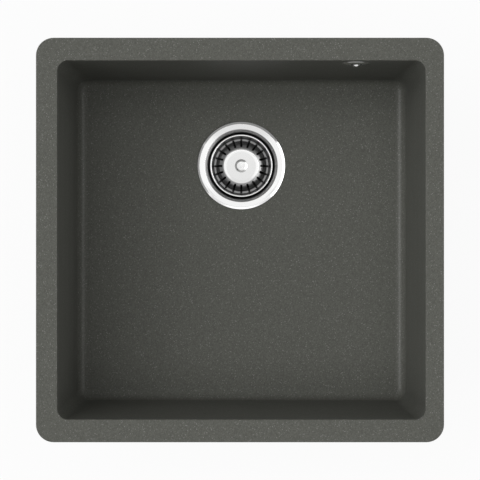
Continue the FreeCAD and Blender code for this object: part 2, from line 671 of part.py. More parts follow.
def make_bowl():
    bowl = new_body("bowl")
    pad(bowl, an_outline(rectangle(RIM_WIDTH, RIM_LENGTH, 0, cell.rim_corner)), cell.rim_thick, down=True)
    under = cell.bowl_depth + cell.bowl_floor
    top = wall_section(bowl, "top", 0, cell.bowl_wall, cell.opening_corner)
    low = wall_section(bowl, "low", under, cell.bowl_wall, cell.floor_corner)
    feature(bowl, "AdditiveLoft", "shell", Profile=top, Sections=[low], Ruled=True)
    level = number_of(-under)
    round_edges(bowl, lambda point: point.z < level + NEAR, cell.floor_round + cell.bowl_wall)
    pad(bowl, a_circle(cell.bowl_shift, cell.drain_back, SEAT_RADIUS + cell.boss_margin),
        cell.boss_drop + cell.cut_over, offset=-(under + cell.boss_drop))
    pad(bowl, a_circle(cell.overflow_right, OVERFLOW_LEVEL, cell.elbow_radius + cell.pad_margin),
        cell.bowl_wall, plane="XZ_Plane", offset=-OUTER_FACE)
    cavity = make_cavity()
    doc.recompute()
    hollow = bowl.newObject("PartDesign::Boolean", "hollow")
    hollow.setObjects([cavity])
    hollow.Type = "Cut"
    bowl.Tip = hollow
    half_width, half_length = number_of(cell.opening_width / 2), number_of(cell.opening_length / 2)
    middle = number_of(cell.bowl_shift)

    def at_opening(point):
        return abs(point.x - middle) < half_width + NEAR and abs(point.y) < half_length + NEAR

    round_edges(bowl, lambda point: point.z > -NEAR and not at_opening(point), cell.rim_edge)
    round_edges(bowl, lambda point: point.z > -NEAR and at_opening(point), cell.opening_edge)
    pocket(bowl, a_circle(cell.bowl_shift, cell.drain_back, SEAT_RADIUS),
           cell.seat_drop + cell.cut_over, offset=SEAT_LEVEL, along=True)
    pocket(bowl, a_circle(cell.bowl_shift, cell.drain_back, DRAIN_BORE),
           cell.bowl_floor + cell.boss_drop + cell.cut_over, offset=SEAT_LEVEL)
    pocket(bowl, a_circle(cell.overflow_right, OVERFLOW_LEVEL,
                                            cell.rosette_radius + cell.rosette_play),
           cell.cut_over, plane="XZ_Plane", offset=-ROSETTE_FACE, along=True)
    pocket(bowl, a_circle(cell.overflow_right, OVERFLOW_LEVEL, cell.overflow_bore),
           cell.bowl_wall + cell.cut_over, plane="XZ_Plane", offset=-ROSETTE_FACE)

    def draw_insert_holes(sketch):
        for _, across, along, _ in CLIP_PLACES:
            draw_circle(sketch, across, along, cell.brass_radius + cell.fit_slip)

    pocket(bowl, draw_insert_holes, cell.brass_long + cell.brass_end, offset=RIM_UNDER, along=True)
    return subpart(bowl, "bowl")


# ---------------------------------------------------------------- strainer

CUP_FOOT = -(cell.cup_drop + cell.cup_fall)
SEAL_RADIUS = cell.outlet_bore + cell.seal_lap
SEAL_UNDER = CUP_FOOT + cell.cup_fall * cell.seal_lap / (cell.cup_bore - cell.outlet_bore) + cell.seal_rest
SEAL_TOP = SEAL_UNDER + cell.seal_thick
TROUGH_UNDER = SEAL_TOP + cell.seal_gap
TROUGH = TROUGH_UNDER + cell.basket_sheet
BASKET_RIM = cell.cup_bore - cell.basket_play
TROUGH_OUTER = BASKET_RIM - cell.basket_rim_wide - cell.basket_taper
TROUGH_INNER = cell.shoulder_radius + cell.hub_taper
RETAINER_UNDER = SEAL_UNDER - cell.retainer_thick
CATCH_TOP = RETAINER_UNDER - cell.catch_gap
HUB_TOP = CATCH_TOP - cell.catch_thick - cell.catch_clear - cell.clamp_head_rise
NECK_END = HUB_TOP - cell.hub_thick
SOCKET_BOTTOM = HUB_TOP + cell.clamp_head_rise - cell.socket_depth
WASTE_TOP = BOSS_FACE - cell.lower_gasket_thick
CONE_TOP = -(cell.cup_drop + cell.cup_sheet + cell.waste_foot_play)
CONE_FOOT = CONE_TOP - cell.waste_cone
WASTE_END = CONE_FOOT - cell.outlet_length
OUTLET_INNER = cell.outlet_thread - cell.thread_depth - cell.outlet_wall
INLET_LEVEL = CONE_FOOT + cell.inlet_rise
WASTE_BORE = cell.cup_bore + cell.cup_sheet + cell.waste_play
NUT_TOP = CONE_FOOT + cell.waste_hub_length - cell.waste_arm_length - cell.waste_hub_drop


def make_strainer_cup():
    seat = cell.gasket_thick
    flange = cell.cup_flange
    outer = cell.cup_bore + cell.cup_sheet
    cup = turned("strainer_cup", [
        (flange, seat),
        (flange, seat + cell.flange_lip),
        (flange - cell.crest_inset, seat + cell.crest_rise, cell.crest_round),
        (flange - cell.crease_inset, seat + cell.crease_rise),
        (flange - cell.mouth_inset, seat + cell.mouth_rise, cell.mouth_round),
        (cell.cup_bore, -cell.cone_drop, cell.cone_bend),
        (cell.cup_bore, -cell.cup_drop, cell.cup_bend),
        (cell.outlet_bore, CUP_FOOT, cell.outlet_bend),
        (cell.outlet_bore, NECK_END),
        (cell.outlet_bore + cell.cup_sheet, NECK_END),
        (cell.outlet_bore + cell.cup_sheet, CUP_FOOT - cell.cup_sheet, cell.outlet_bend),
        (outer, -cell.cup_drop - cell.cup_sheet, cell.cup_bend + cell.cup_sheet),
        (outer, -cell.cone_drop - cell.cup_sheet / 2, cell.cone_bend),
        (flange - cell.mouth_inset + cell.cup_sheet, seat),
    ], DRAIN)
    reach = cell.outlet_bore + cell.arm_lap
    arm = pad(cup, an_outline(bar(reach, cell.arm_width)), cell.arm_thick, offset=NECK_END)
    repeat_round(cup, arm, cell.arm_count)
    pad(cup, a_circle(0, 0, cell.hub_radius), cell.hub_thick, offset=NECK_END)
    pocket(cup, a_circle(0, 0, cell.clamp_radius + cell.clamp_play),
           cell.hub_thick + cell.cut_over, offset=NECK_END, along=True)
    return subpart(cup, "strainer_cup")


def make_gaskets():
    flange = turned("flange_gasket", ring(DRAIN_BORE + cell.gasket_lap, cell.cup_flange - cell.gasket_inset,
                                          0, cell.gasket_thick), DRAIN)
    subpart(flange, "flange_gasket")
    lower = turned("lower_gasket", ring(DRAIN_BORE + cell.lower_gasket_lap, cell.waste_flange,
                                        WASTE_TOP, BOSS_FACE), DRAIN)
    subpart(lower, "lower_gasket")


def thread_corners(root, start):
    """Ridges of a pipe thread, as rings with flat crests, from the top down."""
    corners = []
    pitch = cell.thread_pitch
    flank = pitch * cell.thread_flank
    flat = pitch * cell.thread_crest
    for index in range(int(number_of(cell.thread_count))):
        top = start - index * pitch
        corners += [(root, top), (cell.outlet_thread, top - flank), (cell.outlet_thread, top - flank - flat),
                    (root, top - 2 * flank - flat)]
    return corners


def make_waste_body():
    body = new_body("waste_body", DRAIN, turn=HOSE_BEARING)
    shell = WASTE_BORE + cell.waste_wall
    flange_under = WASTE_TOP - cell.waste_flange_thick
    root = cell.outlet_thread - cell.thread_depth
    outside = [(0, WASTE_END), (0, WASTE_TOP),
               (cell.waste_flange, WASTE_TOP), (cell.waste_flange, flange_under),
               (shell, flange_under, cell.waste_flange_round),
               (shell, CONE_TOP - cell.waste_wall, cell.cone_top_round),
               (root, CONE_FOOT - cell.waste_wall, cell.cone_foot_round)]
    ridges = thread_corners(root, CONE_FOOT - cell.waste_wall * 2)
    turn_profile(body, outside + ridges + [(root, WASTE_END)])
    pad(body, a_circle(0, INLET_LEVEL, INLET_RADIUS),
        cell.inlet_reach, plane="YZ_Plane")
    turn_profile(body, [(0, WASTE_TOP + cell.cut_over), (0, WASTE_END - cell.cut_over),
                        (OUTLET_INNER, WASTE_END - cell.cut_over),
                        (OUTLET_INNER, CONE_FOOT, cell.cone_foot_round),
                        (WASTE_BORE, CONE_TOP, cell.cone_top_round),
                        (WASTE_BORE, WASTE_TOP + cell.cut_over)],
                 kind="Groove")
    pocket(body, a_circle(0, INLET_LEVEL, HOSE_BORE),
           cell.inlet_reach - OUTLET_INNER + cell.cut_over, plane="YZ_Plane", offset=cell.inlet_reach)
    arm_foot = NUT_TOP - cell.waste_hub_length
    reach = OUTLET_INNER + cell.arm_lap
    arm = pad(body, an_outline(bar(-reach, cell.waste_arm_width)), cell.waste_arm_length, offset=arm_foot)
    repeat_round(body, arm, cell.waste_arm_count)
    pad(body, a_circle(0, 0, cell.waste_hub_radius), cell.waste_hub_length, offset=arm_foot)
    pocket(body, a_circle(0, 0, cell.clamp_radius + cell.nut_wall + cell.fit_slip),
           cell.waste_hub_length + cell.cut_over, offset=NUT_TOP)
    return subpart(body, "waste_body")


def make_clamp():
    socket = cell.stem_radius + cell.stem_play
    head_top = HUB_TOP + cell.clamp_head_rise
    end = NUT_TOP - cell.clamp_nut_length
    screw = turned("clamp_screw", [
        (0, end), (cell.clamp_radius, end), (cell.clamp_radius, HUB_TOP), (cell.clamp_head, HUB_TOP),
        (cell.clamp_head, head_top, cell.clamp_head_round), (socket, head_top, cell.socket_round),
        (socket, SOCKET_BOTTOM), (0, SOCKET_BOTTOM)], DRAIN)
    subpart(screw, "clamp_screw")
    nut = turned("clamp_nut", ring(cell.clamp_radius + cell.fit_slip, cell.clamp_radius + cell.nut_wall,
                                   end, NUT_TOP), DRAIN)
    subpart(nut, "clamp_nut")


def make_basket():
    sheet_thick = cell.basket_sheet
    rim_top = -cell.basket_rim_drop
    inside = BASKET_RIM - cell.basket_rim_wide
    bore = cell.stem_radius + cell.fit_slip
    shoulder = cell.plateau_drop + cell.shoulder_drop
    plateau = cell.shoulder_radius - cell.shoulder_wide
    basket = turned("basket", [
        (bore, -cell.plateau_drop),
        (bore, -cell.plateau_drop - sheet_thick),
        (plateau - sheet_thick / 2, -cell.plateau_drop - sheet_thick, cell.plateau_bend - sheet_thick),
        (cell.shoulder_radius - sheet_thick, -shoulder - sheet_thick / 2, cell.shoulder_bend - sheet_thick),
        (TROUGH_INNER - sheet_thick, TROUGH_UNDER, cell.trough_bend + sheet_thick),
        (TROUGH_OUTER + sheet_thick, TROUGH_UNDER, cell.trough_bend + sheet_thick),
        (inside + sheet_thick, rim_top - cell.basket_rim_tall),
        (BASKET_RIM, rim_top - cell.basket_rim_tall, cell.basket_rim_round),
        (BASKET_RIM, rim_top, cell.basket_rim_round),
        (inside, rim_top, cell.basket_rim_round),
        (TROUGH_OUTER, TROUGH, cell.trough_bend),
        (TROUGH_INNER, TROUGH, cell.trough_bend),
        (cell.shoulder_radius, -shoulder, cell.shoulder_bend),
        (plateau, -cell.plateau_drop, cell.plateau_bend),
    ], DRAIN)
    half = cell.slot_width / 2
    near = plateau + cell.slot_inner_gap + half
    far = TROUGH_OUTER - cell.slot_outer_gap - half
    slot = pocket(basket, a_slot(near, far, half),
                  cell.cut_over - cell.plateau_drop - TROUGH_UNDER, offset=TROUGH_UNDER, along=True)
    repeat_round(basket, slot, cell.slot_count)
    return subpart(basket, "basket")


def make_knob_and_stem():
    base = -cell.plateau_drop
    under = base + cell.knob_neck_tall
    top = under + cell.knob_head_tall
    bore = cell.stem_radius + cell.fit_slip
    knob = turned("basket_knob", [
        (0, base + cell.knob_bore), (bore, base + cell.knob_bore), (bore, base),
        (cell.knob_foot, base, cell.knob_foot_round),
        (cell.knob_neck, base + cell.knob_neck_tall / 2, cell.knob_waist_round),
        (cell.knob_neck, under, cell.knob_throat_round),
        (cell.knob_radius, under + cell.knob_edge, cell.knob_edge),
        (cell.knob_radius, top - cell.knob_dome, cell.knob_dome_round),
        (cell.knob_radius - cell.knob_dome_wide, top - cell.knob_crown, cell.knob_crown_round),
        (0, top)], DRAIN)
    subpart(knob, "basket_knob")
    stem_top = base + cell.knob_bore - cell.knob_bore_gap
    stem_foot = SOCKET_BOTTOM + cell.stem_gap
    stem = turned("basket_stem", [
        (0, stem_foot), (cell.stem_radius, stem_foot, cell.stem_round),
        (cell.stem_radius, stem_top), (0, stem_top)], DRAIN)
    subpart(stem, "basket_stem")
    catch = turned("catch_ring", ring(cell.stem_radius, cell.catch_radius,
                                      CATCH_TOP - cell.catch_thick, CATCH_TOP), DRAIN)
    subpart(catch, "catch_ring")


def make_seal():
    """Rubber disc with a hub that reaches up under the basket's plateau."""
    bore = cell.stem_radius + cell.stem_play
    hub_top = -(cell.plateau_drop + cell.basket_sheet + cell.seal_gap)
    seal = turned("basket_seal", [
        (bore, SEAL_UNDER), (SEAL_RADIUS, SEAL_UNDER, cell.seal_lip_round),
        (SEAL_RADIUS, SEAL_UNDER + cell.seal_lip),
        (SEAL_RADIUS - cell.seal_lip_wide, SEAL_UNDER + cell.seal_lip_root, cell.seal_body_round),
        (SEAL_RADIUS - cell.seal_body_inset, SEAL_TOP, cell.seal_body_round),
        (cell.seal_hub, SEAL_TOP, cell.seal_body_round),
        (cell.seal_hub, hub_top, cell.seal_body_round), (bore, hub_top)], DRAIN)
    subpart(seal, "basket_seal")
    retainer = turned("seal_retainer", ring(bore, cell.retainer_radius, RETAINER_UNDER, SEAL_UNDER), DRAIN)
    subpart(retainer, "seal_retainer")


# ---------------------------------------------------------------- overflow

BACKWARD = {"about": (1, 0, 0), "turn": -90}
WALL_THROUGH = OUTER_FACE - ROSETTE_FACE


def make_rosette():
    seat = -WALL_THROUGH
    crown = seat - cell.rosette_rise
    rosette = turned("overflow_rosette", [
        (cell.tap_radius + cell.tap_play, seat), (cell.rosette_radius, seat),
        (cell.rosette_radius, seat - cell.rosette_edge, cell.rosette_edge_round),
        (cell.rosette_crown, crown, cell.rosette_crown_round), (cell.tap_radius + cell.tap_play, crown)],
        OVERFLOW, **BACKWARD)
    hole = pocket(rosette, a_circle(cell.rosette_ring, 0, cell.rosette_hole),
                  cell.rosette_rise + cell.cut_over, offset=seat)
    repeat_round(rosette, hole, cell.rosette_holes)
    subpart(rosette, "overflow_rosette")
    tip = cell.overflow_gasket_thick + cell.elbow_depth - cell.elbow_wall - cell.tap_end_gap
    screw = turned("overflow_screw", [
        (0, crown - cell.tap_head_rise),
        (cell.tap_head - cell.tap_head_slope, crown - cell.tap_head_rise, cell.tap_crown_round),
        (cell.tap_head, crown - cell.tap_head_edge, cell.tap_edge_round),
        (cell.tap_head, crown), (cell.tap_radius, crown),
        (cell.tap_radius, tip), (0, tip)], OVERFLOW, **BACKWARD)
    pocket(screw, an_outline(rectangle(2 * cell.tap_head + cell.cut_over, cell.tap_slot_wide)),
           cell.tap_slot_deep + cell.cut_over, offset=crown - cell.tap_head_rise + cell.tap_slot_deep)
    subpart(screw, "overflow_screw")


def make_elbow():
    face = cell.overflow_gasket_thick
    back = face + cell.elbow_depth
    inner = cell.elbow_radius - cell.elbow_wall
    spigot_end = cell.elbow_radius + cell.hose_top_gap + cell.spigot_lap
    gasket = turned("overflow_gasket", ring(cell.overflow_bore + cell.overflow_gasket_lap,
                                             cell.elbow_radius - cell.overflow_gasket_inset, 0, face),
                    OVERFLOW, **BACKWARD)
    subpart(gasket, "overflow_gasket")
    elbow = new_body("overflow_elbow", OVERFLOW, **BACKWARD)
    turn_profile(elbow, [(0, face), (cell.elbow_radius, face), (cell.elbow_radius, back, cell.elbow_edge),
                         (0, back)])
    pad(elbow, a_circle(0, HOSE_BACK, cell.spigot_radius),
        spigot_end, plane="XZ_Plane", down=True)
    turn_profile(elbow, [(0, face - cell.cut_over), (inner, face - cell.cut_over),
                         (inner, back - cell.elbow_wall, cell.elbow_edge / 2), (0, back - cell.elbow_wall)],
                 kind="Groove")
    pocket(elbow, a_circle(0, HOSE_BACK, cell.spigot_radius - cell.spigot_wall),
           spigot_end - cell.elbow_radius / 2, plane="XZ_Plane", offset=-spigot_end)
    pad(elbow, a_circle(0, 0, cell.elbow_boss), cell.elbow_boss_long,
        offset=back - cell.elbow_wall, down=True)
    bore = cell.tap_radius + cell.insert_wall + 2 * cell.fit_slip
    pocket(elbow, a_circle(0, 0, bore), cell.elbow_boss_long,
           offset=back - cell.elbow_wall - cell.elbow_boss_long, along=True)
    subpart(elbow, "overflow_elbow")
    start = back - cell.elbow_wall - cell.elbow_boss_long + cell.insert_sink
    insert = turned("overflow_insert", ring(cell.tap_radius + cell.fit_slip, bore - cell.fit_slip,
                                            start, back - cell.elbow_wall - cell.insert_end),
                    OVERFLOW, **BACKWARD)
    subpart(insert, "overflow_insert")


def hose_stations(total):
    """Distances along the hose and radii there: four circles to a rib."""
    valley = number_of(HOSE_BORE + cell.hose_wall)
    crest = valley + number_of(cell.hose_rib)
    pitch = number_of(cell.hose_pitch)
    flank = pitch * number_of(cell.hose_flank)
    top = pitch * number_of(cell.hose_crest)
    count = int((total - 2 * number_of(cell.hose_cuff)) / pitch)
    margin = (total - count * pitch) / 2
    stations = [(0, valley)]
    for index in range(count):
        start = margin + index * pitch
        stations += [(start, valley), (start + flank, crest), (start + flank + top, crest),
                     (start + 2 * flank + top, valley)]
    flange = total - number_of(cell.hose_flange_thick)
    step = flank / 2
    stations += [(flange - step, valley), (flange, number_of(HOSE_FLANGE)), (total, number_of(HOSE_FLANGE))]
    return stations


def make_hose():
    """Ribbed hose in one upright plane: down, a quarter bend, and in."""
    bend = number_of(cell.hose_bend)
    reach = number_of(HOSE_REACH)
    inlet = number_of(SEAT_LEVEL + INLET_LEVEL)
    top = number_of(HOSE_TOP)
    end = number_of(cell.inlet_reach + cell.hose_seal_thick)
    down, quarter = top - inlet - bend, bend * math.pi / 2
    total = down + quarter + reach - bend - end
    sideways = FreeCAD.Vector(0, 1, 0)

    def frame_at(distance):
        """Point on the hose's axis and the direction it runs there."""
        if distance <= down:
            return FreeCAD.Vector(reach, 0, top - distance), FreeCAD.Vector(0, 0, -1)
        angle = min((distance - down) / bend, math.pi / 2)
        straight = max(distance - down - quarter, 0)
        point = FreeCAD.Vector(reach - bend + bend * math.cos(angle) - straight, 0,
                               inlet + bend - bend * math.sin(angle))
        return point, FreeCAD.Vector(-math.sin(angle), 0, -math.cos(angle))

    def circle_at(distance, radius):
        point, along = frame_at(distance)
        wire = Part.Wire(Part.makeCircle(radius))
        wire.Placement = FreeCAD.Placement(point, FreeCAD.Rotation(sideways, FreeCAD.Vector(), along, "ZXY"))
        return wire

    outside = Part.makeLoft([circle_at(*station) for station in hose_stations(total)], True, True)
    start, corner = FreeCAD.Vector(reach, 0, top), FreeCAD.Vector(reach, 0, top - down)
    middle, landing = frame_at(down + quarter / 2)[0], frame_at(down + quarter)[0]
    path = Part.Wire([Part.makeLine(start, corner), Part.Arc(corner, middle, landing).toShape(),
                      Part.makeLine(landing, FreeCAD.Vector(end, 0, inlet))])
    bore = path.makePipeShell([circle_at(0, number_of(HOSE_BORE))], True, False)
    hose = doc.addObject("Part::Feature", "overflow_hose")
    hose.Shape = outside.cut(bore)
    place(hose, (cell.bowl_shift, cell.drain_back, 0), turn=HOSE_BEARING)
    return subpart(hose, "overflow_hose")


def make_hose_clamp():
    """Worm-drive band round the hose's cuff, with its screw."""
    hose_end = (cell.overflow_right, OUTER_FACE + HOSE_BACK, HOSE_TOP)
    inner = HOSE_BORE + cell.hose_wall + cell.clamp_band_gap
    outer = inner + cell.clamp_band_thick
    top = -cell.clamp_band_inset
    low = top - cell.clamp_band_wide
    middle = (top + low) / 2
    band = turned("hose_clamp", ring(inner, outer, low, top), hose_end)
    lug_end = outer + cell.clamp_lug
    lug_axis = outer + cell.clamp_lug / 2
    half = cell.clamp_lug / 2
    lap = cell.clamp_band_thick / 2
    pad(band, an_outline([
        (outer - lap, -half), (lug_end, -half, cell.clamp_lug_round), (lug_end, half, cell.clamp_lug_round),
        (outer - lap, half)]), cell.clamp_band_wide, offset=low)
    bore = cell.worm_radius + cell.fit_slip
    pocket(band, a_circle(lug_axis, middle, bore), cell.clamp_lug, plane="XZ_Plane",
           offset=half)
    subpart(band, "hose_clamp")
    worm = new_body("hose_clamp_screw", hose_end)
    pad(worm, a_circle(lug_axis, middle, cell.worm_radius), cell.clamp_lug,
        plane="XZ_Plane", offset=-half)
    pad(worm, lambda sketch: draw_hexagon(sketch, lug_axis, middle, cell.worm_flats), cell.worm_head,
        plane="XZ_Plane", offset=half)
    subpart(worm, "hose_clamp_screw")


def make_hose_nut():
    inlet = (cell.bowl_shift, cell.drain_back, SEAT_LEVEL + INLET_LEVEL)
    face = cell.inlet_reach
    flange = face + cell.hose_seal_thick
    lip = flange + cell.hose_flange_thick + cell.fit_slip
    thread = INLET_RADIUS + cell.hose_nut_play
    outer = thread + cell.hose_nut_wall
    collar = HOSE_BORE + cell.hose_wall + cell.hose_rib + cell.hose_nut_play
    nut = turned("hose_nut", [
        (face - cell.hose_nut_lap, thread), (lip, thread), (lip, collar), (lip + cell.hose_nut_lip, collar),
        (lip + cell.hose_nut_lip, outer, cell.hose_nut_round),
        (face - cell.hose_nut_lap, outer, cell.hose_nut_edge)],
        inlet, turn=HOSE_BEARING, axis="H_Axis")
    depth = lip + cell.hose_nut_lip - face + cell.hose_nut_lap + cell.cut_over
    flute = pocket(nut, a_circle(0, outer + cell.nut_flute / 2, cell.nut_flute),
                   depth, plane="YZ_Plane", offset=lip + cell.hose_nut_lip)
    repeat_round(nut, flute, cell.nut_grips)
    subpart(nut, "hose_nut")
    seal = turned("hose_seal", [(face, HOSE_BORE), (flange, HOSE_BORE), (flange, HOSE_FLANGE),
                                (face, HOSE_FLANGE)], inlet, turn=HOSE_BEARING, axis="H_Axis")
    subpart(seal, "hose_seal")


# ---------------------------------------------------------------- clips

WASHER_TOP = cell.clip_gap + cell.clip_thick + cell.washer_gap


def make_clip(name, across, along, turn):
    clip = new_body(name, (across, along, RIM_UNDER), turn=turn)
    half = cell.clip_width / 2
    tip = cell.clip_length - half
    pad(clip, a_slot(0, tip - half, half), cell.clip_thick, offset=-cell.clip_gap, down=True)
    slot = cell.clip_slot_wide / 2
    slot_far = tip - cell.clip_slot_end - slot
    slot_near = slot_far - cell.clip_slot_long + cell.clip_slot_wide

    def draw_holes(sketch):
        draw_circle(sketch, 0, 0, cell.pivot_radius + cell.pivot_play)
        draw_slot(sketch, slot_near, slot_far, slot)

    pocket(clip, draw_holes, cell.clip_thick + cell.cut_over, offset=-cell.clip_gap)
    subpart(clip, name)


def make_rim_insert(name, at):
    return turned(name, ring(cell.screw_thread + cell.fit_slip, cell.brass_radius, 0, cell.brass_long), at)


def make_clip_screw(name, at):
    """Shoulder screw: thread in the insert, clip and washer on the shoulder."""
    under = -(WASHER_TOP + cell.washer_thick)
    screw = turned(name, [
        (0, cell.screw_long), (0, under), (cell.pivot_radius, under), (cell.pivot_radius, 0),
        (cell.screw_thread, 0), (cell.screw_thread, cell.screw_long, cell.screw_round)], at)
    pad(screw, lambda sketch: draw_hexagon(sketch, 0, 0, cell.screw_flats), cell.screw_head,
        offset=under, down=True)
    return screw


def make_clip_washer(name, at):
    low = -(WASHER_TOP + cell.washer_thick)
    return turned(name, ring(cell.pivot_radius + cell.pivot_play, cell.washer_radius, low, -WASHER_TOP), at)


def make_clips():
    for side, across, along, turn in CLIP_PLACES:
        make_clip("clip_" + side, across, along, turn)
    for name, make in (("rim_inserts", make_rim_insert), ("clip_screws", make_clip_screw),
                       ("clip_washers", make_clip_washer)):
        grouped(name, [make("%s_%s" % (name, side), (across, along, RIM_UNDER))
                       for side, across, along, _ in CLIP_PLACES])


# ---------------------------------------------------------------- the sink

def write_parts():
    """Checks every object and every piece, then writes one file a piece."""
    doc.recompute()
    failed = [item.Label for item in doc.Objects if "Invalid" in item.State or "Error" in item.State]
    failed += [item.Label for item in PARTS if item.Shape.isNull() or not item.Shape.isValid()]
    if failed:
        raise RuntimeError("these did not build: " + ", ".join(failed))
    os.makedirs("parts", exist_ok=True)
    for item in PARTS:
        item.Shape.exportStep(os.path.join("parts", item.Label + ".step"))


make_bowl()
make_strainer_cup()
make_gaskets()
make_waste_body()
make_clamp()
make_basket()
make_knob_and_stem()
make_seal()
make_rosette()
make_elbow()
make_hose()
make_hose_clamp()
make_hose_nut()
make_clips()
write_parts()
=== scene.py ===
import json
import math
import bmesh
import bpy
from mathutils import Matrix, Vector


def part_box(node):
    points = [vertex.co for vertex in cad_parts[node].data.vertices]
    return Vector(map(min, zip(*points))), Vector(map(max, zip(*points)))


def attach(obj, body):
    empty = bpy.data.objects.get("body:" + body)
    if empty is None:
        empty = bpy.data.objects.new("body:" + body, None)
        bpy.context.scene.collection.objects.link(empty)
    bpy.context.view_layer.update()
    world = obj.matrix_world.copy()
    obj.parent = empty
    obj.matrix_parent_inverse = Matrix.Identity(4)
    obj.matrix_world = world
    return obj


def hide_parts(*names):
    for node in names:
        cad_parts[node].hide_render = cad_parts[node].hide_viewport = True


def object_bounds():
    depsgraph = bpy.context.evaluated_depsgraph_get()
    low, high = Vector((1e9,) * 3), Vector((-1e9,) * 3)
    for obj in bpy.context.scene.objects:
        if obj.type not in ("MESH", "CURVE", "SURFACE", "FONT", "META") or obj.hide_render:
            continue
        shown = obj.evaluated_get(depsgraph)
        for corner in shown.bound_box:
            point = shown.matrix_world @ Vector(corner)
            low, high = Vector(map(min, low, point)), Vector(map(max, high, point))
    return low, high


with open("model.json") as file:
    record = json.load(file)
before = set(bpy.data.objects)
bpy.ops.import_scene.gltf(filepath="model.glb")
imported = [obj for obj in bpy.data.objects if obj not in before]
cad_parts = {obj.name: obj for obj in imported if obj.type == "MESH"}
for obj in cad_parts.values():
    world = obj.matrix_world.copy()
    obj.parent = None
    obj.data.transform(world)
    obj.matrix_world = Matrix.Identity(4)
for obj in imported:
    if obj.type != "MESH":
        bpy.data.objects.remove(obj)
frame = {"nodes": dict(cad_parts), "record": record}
NODES = frame["nodes"]
SLOTS = {part["node"]: part["material_slot"] for part in frame["record"]["subparts"]}
CAD_LOW, CAD_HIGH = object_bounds()
BASKET_LOW, BASKET_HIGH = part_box("basket")
DRAIN = (BASKET_LOW + BASKET_HIGH) / 2

# ------------------------------------------------------------------ the view

CAMERA_HEIGHT = 2.1
CAMERA_LENS = 139.8
SENSOR = 36.0


def make_camera():
    """Straight above the rim's centre, with the back of the sink at the top."""
    data = bpy.data.cameras.new("camera")
    data.lens = CAMERA_LENS
    data.sensor_width = SENSOR
    camera = bpy.data.objects.new("camera", data)
    camera.location = (0, 0, CAMERA_HEIGHT)
    bpy.context.scene.collection.objects.link(camera)
    bpy.context.scene.camera = camera


# ------------------------------------------------------------------ the light

# Name, bearing from +X and height in degrees, strength, softness in degrees, whether steel mirrors it.
LAMPS = (
    ("left_low", 180, 45, 0.46, 35, False),
    ("left_high", 180, 60, 0.54, 35, False),
    ("back_left", 135, 62, 0.36, 35, False),
    ("right_low", 0, 30, 0.42, 35, False),
    ("overhead", 0, 90, 0.50, 35, False),
)
SKY_LEVEL = 0.22
SEEN_LEVEL = 1.0

# Lamps that only make highlights: name, bearing, height, strength and softness, as above.
STEEL_GLEAMS = (
    ("left_gleam", 180, 68, 0.050, 30),
    ("right_gleam", 0, 68, 0.060, 30),
    ("back_gleam", 90, 72, 0.045, 30),
)
STONE_GLEAMS = (
    ("stone_gleam_left", 180, 42, 2.2, 14),
    ("stone_gleam_right", 0, 46, 0.7, 10),
)

# Name, bearing from +X in degrees, distance from the drain's axis, brightness.
CARDS = (
    ("right_card", 0, 0.16, 3.0),
    ("front_card", -90, 0.24, 0.6),
    ("back_card", 90, 0.085, 0.3),
    ("left_card", 180, 0.16, 0.35),
)
CARD_WIDTH = 0.30
CARD_FOOT = 0.006


def make_lamp(name, bearing, height, strength, softness, mirrored=True, lit=True):
    """A wide soft lamp far away, by its bearing from +X, height and softness in degrees."""
    data = bpy.data.lights.new(name, "SUN")
    data.energy = strength
    data.angle = math.radians(softness)
    lamp = bpy.data.objects.new(name, data)
    lamp.visible_diffuse = lit
    lamp.visible_glossy = mirrored
    bearing, height = math.radians(bearing), math.radians(height)
    away = Vector((math.cos(bearing) * math.cos(height), math.sin(bearing) * math.cos(height),
                   math.sin(height)))
    lamp.rotation_euler = (-away).to_track_quat("-Z", "Y").to_euler()
    bpy.context.scene.collection.objects.link(lamp)
    return lamp


def make_card(name, bearing, reach, level):
    """A card that stands in the bowl, from over the flange to the rim, and shows only as gloss."""
    low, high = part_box("strainer_cup")
    foot = high.z + CARD_FOOT
    data = bpy.data.lights.new(name, "AREA")
    data.shape = "RECTANGLE"
    data.size = CARD_WIDTH
    data.size_y = -foot
    data.energy = level * math.pi * data.size * data.size_y
    card = bpy.data.objects.new(name, data)
    bearing = math.radians(bearing)
    away = Vector((math.cos(bearing), math.sin(bearing), 0))
    drain = (low + high) / 2
    card.location = Vector((drain.x, drain.y, foot / 2)) + away * reach
    card.rotation_euler = (-away).to_track_quat("-Z", "Y").to_euler()
    card.visible_camera = False
    card.visible_diffuse = False
    bpy.context.scene.collection.objects.link(card)
    return card


def shines_on(lamps, name, pieces):
    """Keeps lamps that only make highlights to the pieces that show them."""
    group = bpy.data.collections.new(name)
    for piece in pieces:
        group.objects.link(NODES[piece])
    for lamp in lamps:
        lamp.light_linking.receiver_collection = group


def make_lights():
    for lamp in LAMPS:
        make_lamp(*lamp)
    gleams = [make_lamp(*gleam, lit=False) for gleam in STEEL_GLEAMS]
    cards = [make_card(*card) for card in CARDS]
    shines_on(gleams + cards, "strainer_steel", ("strainer_cup", "basket", "basket_knob"))
    shines_on([make_lamp(*gleam, lit=False) for gleam in STONE_GLEAMS], "stone", ("bowl",))


# ------------------------------------------------------------------ node tools

def grey(value):
    return (value, value, value, 1.0)


BLACK = grey(0.0)
WHITE = grey(1.0)

# The colour sockets of a Mix node, which share their names with its other kinds.
MIX_FIRST = 6
MIX_SECOND = 7
MIX_RESULT = 2


def feed(tree, source, socket):
    """Links a socket into an input, or sets the input to a plain value."""
    if isinstance(source, bpy.types.NodeSocket):
        tree.links.new(source, socket)
    else:
        socket.default_value = source


